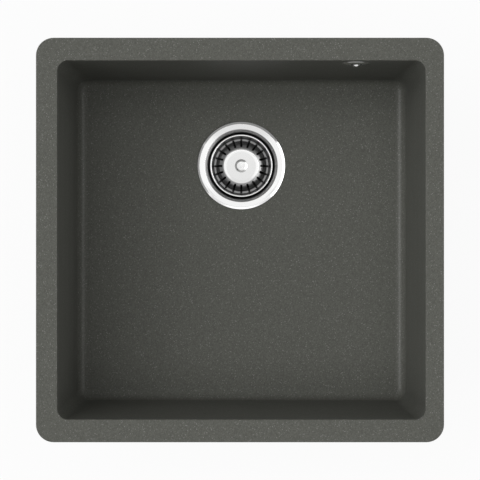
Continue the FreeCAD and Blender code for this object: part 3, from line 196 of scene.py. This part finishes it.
def node(tree, kind, given=(), **values):
    """Adds a shader node and sets its inputs or properties by name.

    Each given pair is a socket or a value, and the name or number of the input that takes it.
    """
    made = tree.nodes.new("ShaderNode" + kind)
    for name, value in values.items():
        if name in made.inputs:
            made.inputs[name].default_value = value
        else:
            setattr(made, name, value)
    for source, name in given:
        feed(tree, source, made.inputs[name])
    return made


def new_group(name, sockets_in, sockets_out):
    """A shader group with named inputs and outputs, as (tree, input, output)."""
    tree = bpy.data.node_groups.new(name, "ShaderNodeTree")
    for label, kind, value in sockets_in:
        socket = tree.interface.new_socket(label, in_out="INPUT", socket_type="NodeSocket" + kind)
        if value is not None:
            socket.default_value = value
    for label, kind in sockets_out:
        tree.interface.new_socket(label, in_out="OUTPUT", socket_type="NodeSocket" + kind)
    return tree, tree.nodes.new("NodeGroupInput"), tree.nodes.new("NodeGroupOutput")


def use_group(tree, group, links=(), **values):
    """Places a shader group in a material, with its own values."""
    made = tree.nodes.new("ShaderNodeGroup")
    made.node_tree = group
    for label, value in values.items():
        made.inputs[label].default_value = value
    for socket, label in links:
        tree.links.new(socket, made.inputs[label])
    return made


def ramp(tree, mask, first, second):
    """The colour at a mask's value, between two stops of a place and a colour each."""
    made = node(tree, "ValToRGB", [(mask, "Fac")])
    for element, (place, colour) in zip(made.color_ramp.elements, (first, second)):
        element.position = place
        element.color = colour
    return made.outputs["Color"]


def mixed(tree, factor, first, second):
    """The first colour where the factor is zero, the second where it is one."""
    made = node(tree, "Mix", [(factor, "Factor"), (first, MIX_FIRST), (second, MIX_SECOND)],
                data_type="RGBA")
    return made.outputs[MIX_RESULT]


def fading(tree, value, start, end):
    """One up to the start value, and down to zero at the end value."""
    made = node(tree, "MapRange", [(value, "Value"), (start, "From Min"), (end, "From Max"),
                                   (1.0, "To Min"), (0.0, "To Max")])
    return made.outputs["Result"]


def product(tree, first, second):
    return node(tree, "Math", [(first, 0), (second, 1)], operation="MULTIPLY").outputs[0]


def object_place(tree):
    return node(tree, "TexCoord").outputs["Object"]


def drain_place(tree):
    """Object coordinates, measured from the drain's axis."""
    shift = node(tree, "Mapping", [(object_place(tree), "Vector"), ((-DRAIN.x, -DRAIN.y, 0), "Location")])
    return shift.outputs["Vector"]


# ------------------------------------------------------------------ the studio

FLOOR_HALF = 6.0
FLOOR_GAP = 0.0005
FLOOR_SHADE = 0.07
FLOOR_COLOUR = grey(0.85)


def seen_by_eye(tree):
    """One for camera, mirror and see-through rays, zero for the rest."""
    path = node(tree, "LightPath")
    total = path.outputs["Is Camera Ray"]
    for name in ("Is Glossy Ray", "Is Transmission Ray"):
        total = node(tree, "Math", [(total, 0), (path.outputs[name], 1)], operation="MAXIMUM").outputs[0]
    return total


def make_world():
    """White to the camera and in reflections, dimmer as a source of light."""
    world = bpy.data.worlds.new("studio")
    bpy.context.scene.world = world
    world.use_nodes = True
    tree = world.node_tree
    tree.nodes.clear()
    light = node(tree, "Background", Color=WHITE, Strength=SKY_LEVEL)
    seen = node(tree, "Background", Color=WHITE, Strength=SEEN_LEVEL)
    mix = node(tree, "MixShader", [(seen_by_eye(tree), 0), (light.outputs[0], 1), (seen.outputs[0], 2)])
    node(tree, "OutputWorld", [(mix.outputs[0], "Surface")])


def make_floor():
    """A pale floor just under the outlet that reads as white and keeps a soft shadow."""
    mesh = bpy.data.meshes.new("floor")
    build = bmesh.new()
    bmesh.ops.create_grid(build, x_segments=1, y_segments=1, size=FLOOR_HALF)
    bmesh.ops.translate(build, verts=build.verts, vec=(0, 0, CAD_LOW.z - FLOOR_GAP))
    build.to_mesh(mesh)
    build.free()
    floor = bpy.data.objects.new("floor", mesh)
    bpy.context.scene.collection.objects.link(floor)
    material = bpy.data.materials.new("floor")
    material.use_nodes = True
    tree = material.node_tree
    tree.nodes.clear()
    plain = node(tree, "BsdfDiffuse", Color=FLOOR_COLOUR)
    glow = node(tree, "Emission", Strength=SEEN_LEVEL)
    share = product(tree, seen_by_eye(tree), 1 - FLOOR_SHADE)
    mix = node(tree, "MixShader", [(share, 0), (plain.outputs[0], 1), (glow.outputs[0], 2)])
    node(tree, "OutputMaterial", [(mix.outputs[0], "Surface")])
    mesh.materials.append(material)


# ------------------------------------------------------------------ shader groups

GRAIN_HEART = 0.30
GRAIN_EDGE = 0.65
PALE_FROM = 0.88
NOISE_MIDDLE = 0.5
PATCH_DETAIL = 4.0
FINE_DETAIL = 2.0


def depth_group():
    """A mask that is one below a low level, zero above a high one."""
    tree, given, result = new_group("depth_mask", [
        ("Vector", "Vector", None), ("High", "Float", 0.0), ("Low", "Float", -1.0)], [("Mask", "Float")])
    split = node(tree, "SeparateXYZ", [(given.outputs["Vector"], "Vector")])
    mask = fading(tree, split.outputs["Z"], given.outputs["Low"], given.outputs["High"])
    tree.links.new(mask, result.inputs["Mask"])
    return tree


def radius_group():
    """A mask that is one near an upright axis, zero away from it."""
    tree, given, result = new_group("radius_mask", [
        ("Vector", "Vector", None), ("Inner", "Float", 0.04), ("Outer", "Float", 0.05)], [("Mask", "Float")])
    flat = node(tree, "VectorMath", [(given.outputs["Vector"], 0), ((1, 1, 0), 1)], operation="MULTIPLY")
    reach = node(tree, "VectorMath", [(flat.outputs["Vector"], 0)], operation="LENGTH")
    mask = fading(tree, reach.outputs["Value"], given.outputs["Inner"], given.outputs["Outer"])
    tree.links.new(mask, result.inputs["Mask"])
    return tree


def flecks_group():
    """Mineral grains, each between two shades, with a few pale ones among them."""
    tree, given, result = new_group("mineral_flecks", [
        ("Vector", "Vector", None), ("Grain", "Float", 900.0), ("Low", "Color", None),
        ("High", "Color", None), ("Pale", "Color", None)], [("Color", "Color")])
    grain = node(tree, "TexVoronoi", [(given.outputs["Vector"], "Vector"), (given.outputs["Grain"], "Scale")])
    split = node(tree, "SeparateColor", [(grain.outputs["Color"], "Color")])
    near = ramp(tree, grain.outputs["Distance"], (GRAIN_HEART, WHITE), (GRAIN_EDGE, BLACK))
    chosen = ramp(tree, split.outputs["Red"], (PALE_FROM, BLACK), (1.0, WHITE))
    body = mixed(tree, split.outputs["Green"], given.outputs["Low"], given.outputs["High"])
    whole = mixed(tree, product(tree, near, chosen), body, given.outputs["Pale"])
    tree.links.new(whole, result.inputs["Color"])
    return tree


def uneven_group():
    """Slow unevenness for a roughness, and a fine height for a bump."""
    tree, given, result = new_group("uneven_finish", [
        ("Vector", "Vector", None), ("Roughness", "Float", 0.4), ("Spread", "Float", 0.1),
        ("Patch", "Float", 20.0), ("Fine", "Float", 900.0)],
        [("Roughness", "Float"), ("Height", "Float")])
    place = given.outputs["Vector"]
    patch = node(tree, "TexNoise", [(place, "Vector"), (given.outputs["Patch"], "Scale")], Detail=PATCH_DETAIL)
    centred = node(tree, "Math", [(patch.outputs["Fac"], 0), (NOISE_MIDDLE, 1)], operation="SUBTRACT")
    wide = node(tree, "Math", [(centred.outputs[0], 0), (given.outputs["Spread"], 1),
                               (given.outputs["Roughness"], 2)], operation="MULTIPLY_ADD")
    fine = node(tree, "TexNoise", [(place, "Vector"), (given.outputs["Fine"], "Scale")], Detail=FINE_DETAIL)
    tree.links.new(wide.outputs[0], result.inputs["Roughness"])
    tree.links.new(fine.outputs["Fac"], result.inputs["Height"])
    return tree


DEPTH = depth_group()
RADIUS = radius_group()
FLECKS = flecks_group()
UNEVEN = uneven_group()

# ------------------------------------------------------------------ materials

STONE_LOW = (0.103, 0.105, 0.092, 1)
STONE_HIGH = (0.142, 0.144, 0.128, 1)
STONE_PALE = (0.28, 0.28, 0.265, 1)
STONE_GLOSS = 0.08
STONE_RELIEF = 0.25
STONE_BUMP = 0.0002

POLISHED = (0.74, 0.74, 0.735, 1)
POLISHED_ROUGHNESS = 0.13
POLISHED_SPREAD = 0.04
POLISHED_RELIEF = 0.05
STEEL_BUMP = 0.00005

# Radii from the drain's axis and levels under the basket's rim, between which one finish turns into the next,
# together with the painted shade that darkens the wall, trough and well.
FLANGE_INNER = 0.0448
FLANGE_OUTER = 0.0452
# The height over which the well's painted shade fades in below the basket's rim.
WELL_SHADE_FADE = 0.003
# Painted shade: the darker colour of the satin wall inside the flange; its roughness is the satin finish.
WALL_SHADED_SATIN = grey(0.36)
WALL_ROUGHNESS = 0.28
# Painted shade: the nearly black colour of the well below the basket's rim.
WELL_PAINTED_SHADE = grey(0.012)
PLATEAU_INNER = 0.0212
PLATEAU_OUTER = 0.0222
BEAD_HIGH = 0.0004
BEAD_LOW = 0.0010
# Painted shade: the darker colour of the basket's satin trough; its roughness is the satin finish.
TROUGH_SHADED_SATIN = grey(0.24)
TROUGH_ROUGHNESS = 0.32

ZINC_DULL = (0.50, 0.52, 0.55, 1)
ZINC_BRIGHT = (0.68, 0.68, 0.69, 1)
SPANGLE_SCALE = 140.0
SPANGLE_LOW = 0.35
SPANGLE_HIGH = 0.65
MOULD_BUMP = 0.0001


def new_material(name, **values):
    """A material with one Principled shader, as (material, tree, shader)."""
    material = bpy.data.materials.new(name)
    material.use_nodes = True
    tree = material.node_tree
    shader = tree.nodes["Principled BSDF"]
    for label, value in values.items():
        shader.inputs[label.replace("_", " ")].default_value = value
    return material, tree, shader


def give_finish(tree, shader, relief, bump, **values):
    """An uneven roughness and a fine bump, by the values of the uneven finish."""
    uneven = use_group(tree, UNEVEN, [(object_place(tree), "Vector")], **values)
    tree.links.new(uneven.outputs["Roughness"], shader.inputs["Roughness"])
    height = node(tree, "Bump", [(uneven.outputs["Height"], "Height")], Strength=relief, Distance=bump)
    tree.links.new(height.outputs["Normal"], shader.inputs["Normal"])


def composite():
    """Granite composite: warm dark grey with fine mineral flecks, satin."""
    material, tree, shader = new_material("granite_composite", Specular_IOR_Level=STONE_GLOSS)
    flecks = use_group(tree, FLECKS, [(object_place(tree), "Vector")], Grain=900.0,
                       Low=STONE_LOW, High=STONE_HIGH, Pale=STONE_PALE)
    tree.links.new(flecks.outputs["Color"], shader.inputs["Base Color"])
    give_finish(tree, shader, STONE_RELIEF, STONE_BUMP, Roughness=0.37, Spread=0.08, Patch=12.0, Fine=1400.0)
    return material


def metal(name, colour, roughness, spread, relief, anisotropic=0.0):
    """Metal with a slightly uneven polish, as (material, tree, shader)."""
    material, tree, shader = new_material(name, Metallic=1.0, Base_Color=colour, Anisotropic=anisotropic)
    give_finish(tree, shader, relief, STEEL_BUMP, Roughness=roughness, Spread=spread, Patch=60.0, Fine=2500.0)
    return material, tree, shader


def polished_metal(name):
    return metal(name, POLISHED, POLISHED_ROUGHNESS, POLISHED_SPREAD, POLISHED_RELIEF)


def satin_and_shade_where(tree, shader, mask, colour, roughness):
    """Roughness between polished and satin by a mask, in place of the even one; returns the colour, which goes
    from polished to a darker colour that is painted shade.
    """
    rough = ramp(tree, mask, (0.0, grey(POLISHED_ROUGHNESS)), (1.0, grey(roughness)))
    tree.links.new(rough, shader.inputs["Roughness"])
    return ramp(tree, mask, (0.0, POLISHED), (1.0, colour))


def cup_steel():
    """Polished flange, satin wall inside it with a darker colour that is painted shade, and a nearly black well
    below the basket's rim that is painted shade.
    """
    material, tree, shader = polished_metal("cup_steel")
    place = [(drain_place(tree), "Vector")]
    inside = use_group(tree, RADIUS, place, Inner=FLANGE_INNER, Outer=FLANGE_OUTER)
    painted_well_shade = use_group(tree, DEPTH, place, High=BASKET_HIGH.z, Low=BASKET_HIGH.z - WELL_SHADE_FADE)
    # Painted shade darkens the satin wall's colour.
    wall = satin_and_shade_where(tree, shader, inside.outputs["Mask"], WALL_SHADED_SATIN, WALL_ROUGHNESS)
    # Painted shade: the well below the basket's rim turns nearly black.
    tree.links.new(mixed(tree, painted_well_shade.outputs["Mask"], wall, WELL_PAINTED_SHADE), shader.inputs["Base Color"])
    return material


def basket_steel():
    """Polished middle and rim, with a satin trough between them whose darker colour is painted shade."""
    material, tree, shader = polished_metal("basket_steel")
    place = [(drain_place(tree), "Vector")]
    middle = use_group(tree, RADIUS, place, Inner=PLATEAU_INNER, Outer=PLATEAU_OUTER)
    below = use_group(tree, DEPTH, place, High=BASKET_HIGH.z - BEAD_HIGH, Low=BASKET_HIGH.z - BEAD_LOW)
    beyond = node(tree, "Math", [(1.0, 0), (middle.outputs["Mask"], 1)], operation="SUBTRACT")
    trough = product(tree, beyond.outputs[0], below.outputs["Mask"])
    # Painted shade darkens the satin trough's colour.
    tint = satin_and_shade_where(tree, shader, trough, TROUGH_SHADED_SATIN, TROUGH_ROUGHNESS)
    tree.links.new(tint, shader.inputs["Base Color"])
    return material


def turned_steel():
    """Steel turned on a lathe about the drain's axis, so its shine opens out from the middle."""
    material, tree, shader = metal("turned_steel", POLISHED, roughness=0.27, spread=0.04, relief=0.05,
                                   anisotropic=0.8)
    round_axis = node(tree, "VectorMath", [((0, 0, 1), 0), (drain_place(tree), 1)], operation="CROSS_PRODUCT")
    along = node(tree, "VectorTransform", [(round_axis.outputs["Vector"], "Vector")],
                 vector_type="VECTOR", convert_from="OBJECT", convert_to="WORLD")
    tree.links.new(along.outputs["Vector"], shader.inputs["Tangent"])
    return material


def zinc():
    """Bright zinc plate with faint cloudy spangle."""
    material, tree, shader = metal("zinc_plate", (0.60, 0.61, 0.63, 1), roughness=0.33, spread=0.12, relief=0.3)
    cloud = node(tree, "TexNoise", [(object_place(tree), "Vector")], Scale=SPANGLE_SCALE, Detail=5.0)
    tint = ramp(tree, cloud.outputs["Fac"], (SPANGLE_LOW, ZINC_DULL), (SPANGLE_HIGH, ZINC_BRIGHT))
    tree.links.new(tint, shader.inputs["Base Color"])
    return material


def moulded(name, colour, roughness, fine, relief, gloss=0.5):
    """Plastic or rubber with a fine moulded grain."""
    material, tree, shader = new_material(name, Base_Color=colour, Specular_IOR_Level=gloss)
    give_finish(tree, shader, relief, MOULD_BUMP, Roughness=roughness, Spread=0.12, Patch=40.0, Fine=fine)
    return material


MATERIALS = {
    "granite_composite": composite(),
    "polished_steel": polished_metal("polished_steel")[0],
    "brushed_steel": metal("brushed_steel", (0.58, 0.58, 0.57, 1), roughness=0.28, spread=0.08, relief=0.2)[0],
    "turned_steel": turned_steel(),
    "zinc_steel": zinc(),
    "brass": metal("brass", (0.72, 0.53, 0.26, 1), roughness=0.3, spread=0.1, relief=0.2)[0],
    "black_plastic": moulded("black_plastic", (0.022, 0.022, 0.024, 1), roughness=0.42, fine=1600.0, relief=0.3),
    "grey_hose": moulded("grey_hose", (0.085, 0.085, 0.09, 1), roughness=0.38, fine=1200.0, relief=0.15),
    "black_rubber": moulded("black_rubber", grey(0.02), roughness=0.6, fine=1800.0, relief=0.4, gloss=0.35),
}

FINISHES = {
    "strainer_cup": cup_steel(),
    "basket": basket_steel(),
    "overflow_rosette": MATERIALS["polished_steel"],
    "overflow_screw": MATERIALS["polished_steel"],
}


def dress_nodes():
    """A CAD piece takes the finish of its slot in the record, unless FINISHES names one for it."""
    for name, slot in SLOTS.items():
        mesh = NODES[name].data
        mesh.materials.clear()
        mesh.materials.append(FINISHES.get(name, MATERIALS[slot]))


# ------------------------------------------------------------------ new pieces

SHARP_ANGLE = math.radians(40)


def finished(build, name, replaced, body):
    """Turns a bmesh into a piece that stands for a CAD node, in that node's finish and on its body."""
    bmesh.ops.recalc_face_normals(build, faces=build.faces)
    mesh = bpy.data.meshes.new(name)
    for face in build.faces:
        face.smooth = True
    build.to_mesh(mesh)
    build.free()
    mesh.set_sharp_from_angle(angle=SHARP_ANGLE)
    piece = bpy.data.objects.new(name, mesh)
    bpy.context.scene.collection.objects.link(piece)
    slot = SLOTS[replaced]
    mesh.materials.append(MATERIALS[slot])
    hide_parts(replaced)
    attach(piece, body)


# ------------------------------------------------------------------ the hose

RIB_PITCH = 0.005
RIB_SHARE = 0.64
RIB_HEIGHT = 0.0009
RIB_STEPS = 8
RIB_FULLNESS = 2 / 3
HOSE_VALLEY = 0.0088
HOSE_BORE = 0.0082
HOSE_CUFF = 0.020
HOSE_BEND = 0.058
HOSE_FLANGE = 0.0112
HOSE_FLANGE_THICK = 0.002
HOSE_SEAL_THICK = 0.002
HOSE_SIDES = 48
BORE_STEP = 0.006


def rib_stations(start):
    """Distances and radii over one rounded rib."""
    made = []
    for step in range(RIB_STEPS + 1):
        angle = math.pi * step / RIB_STEPS
        across = (1 - math.copysign(abs(math.cos(angle)) ** RIB_FULLNESS, math.cos(angle))) / 2
        up = abs(math.sin(angle)) ** RIB_FULLNESS
        made.append((start + across * RIB_SHARE * RIB_PITCH, HOSE_VALLEY + RIB_HEIGHT * up))
    return made


def hose_stations(total):
    """The hose's outside from the elbow to its flange, then back through its bore."""
    count = int((total - 2 * HOSE_CUFF) / RIB_PITCH)
    margin = (total - count * RIB_PITCH) / 2
    outside = [(0, HOSE_VALLEY)]
    for index in range(count):
        outside += rib_stations(margin + index * RIB_PITCH)
    flange = total - HOSE_FLANGE_THICK
    outside += [(flange, HOSE_VALLEY), (flange, HOSE_FLANGE), (total, HOSE_FLANGE)]
    steps = round(total / BORE_STEP)
    return outside + [(total * (1 - step / steps), HOSE_BORE) for step in range(steps + 1)]


def make_hose():
    """Ribbed overflow hose: down from the elbow, a quarter bend, and in to the waste."""
    low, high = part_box("overflow_hose")
    cup_low, cup_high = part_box("strainer_cup")
    nut_low, nut_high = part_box("hose_nut")
    seal_low, seal_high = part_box("hose_seal")
    drain = (cup_low + cup_high) / 2
    crest = HOSE_VALLEY + RIB_HEIGHT
    top = Vector((high.x - crest, high.y - crest, high.z))
    inlet = (nut_low.z + nut_high.z) / 2
    away = Vector((top.x - drain.x, top.y - drain.y, 0))
    reach = away.length
    away.normalize()
    seal = (seal_low + seal_high) / 2
    seal_reach = Vector((seal.x - drain.x, seal.y - drain.y, 0)).length
    end = seal_reach + HOSE_SEAL_THICK / 2
    down = top.z - inlet - HOSE_BEND
    quarter = HOSE_BEND * math.pi / 2
    total = down + quarter + reach - HOSE_BEND - end
    sideways = Vector((0, 0, 1)).cross(away)

    def placed(distance, radius):
        """The matrix that takes a unit circle to its place round the hose's axis."""
        angle = min(max((distance - down) / HOSE_BEND, 0), math.pi / 2)
        out = reach - HOSE_BEND + HOSE_BEND * math.cos(angle) - max(distance - down - quarter, 0)
        level = top.z - min(distance, down) - HOSE_BEND * math.sin(angle)
        along = Vector((0, 0, -math.cos(angle))) - away * math.sin(angle)
        across = sideways.cross(along)
        turn = Matrix((across, sideways, along)).transposed().to_4x4()
        spot = Vector((drain.x, drain.y, level)) + away * out
        return Matrix.Translation(spot) @ turn @ Matrix.Diagonal((radius, radius, radius, 1))

    build = bmesh.new()
    ring = bmesh.ops.create_circle(build, segments=HOSE_SIDES, radius=1.0)["verts"]
    first = edges = list(build.edges)
    before = Matrix.Identity(4)
    for number, station in enumerate(hose_stations(total)):
        if number:
            made = bmesh.ops.extrude_edge_only(build, edges=edges)["geom"]
            ring = [item for item in made if isinstance(item, bmesh.types.BMVert)]
            rim = set(ring)
            edges = [item for item in made
                     if isinstance(item, bmesh.types.BMEdge) and rim.issuperset(item.verts)]
        after = placed(*station)
        bmesh.ops.transform(build, matrix=after @ before.inverted(), verts=ring)
        before = after
    bmesh.ops.bridge_loops(build, edges=first + edges)
    finished(build, "ribbed_hose", "overflow_hose", "root")


bpy.context.scene.view_settings.view_transform = "Standard"
make_camera()
make_lights()
make_world()
make_floor()
dress_nodes()
make_hose()
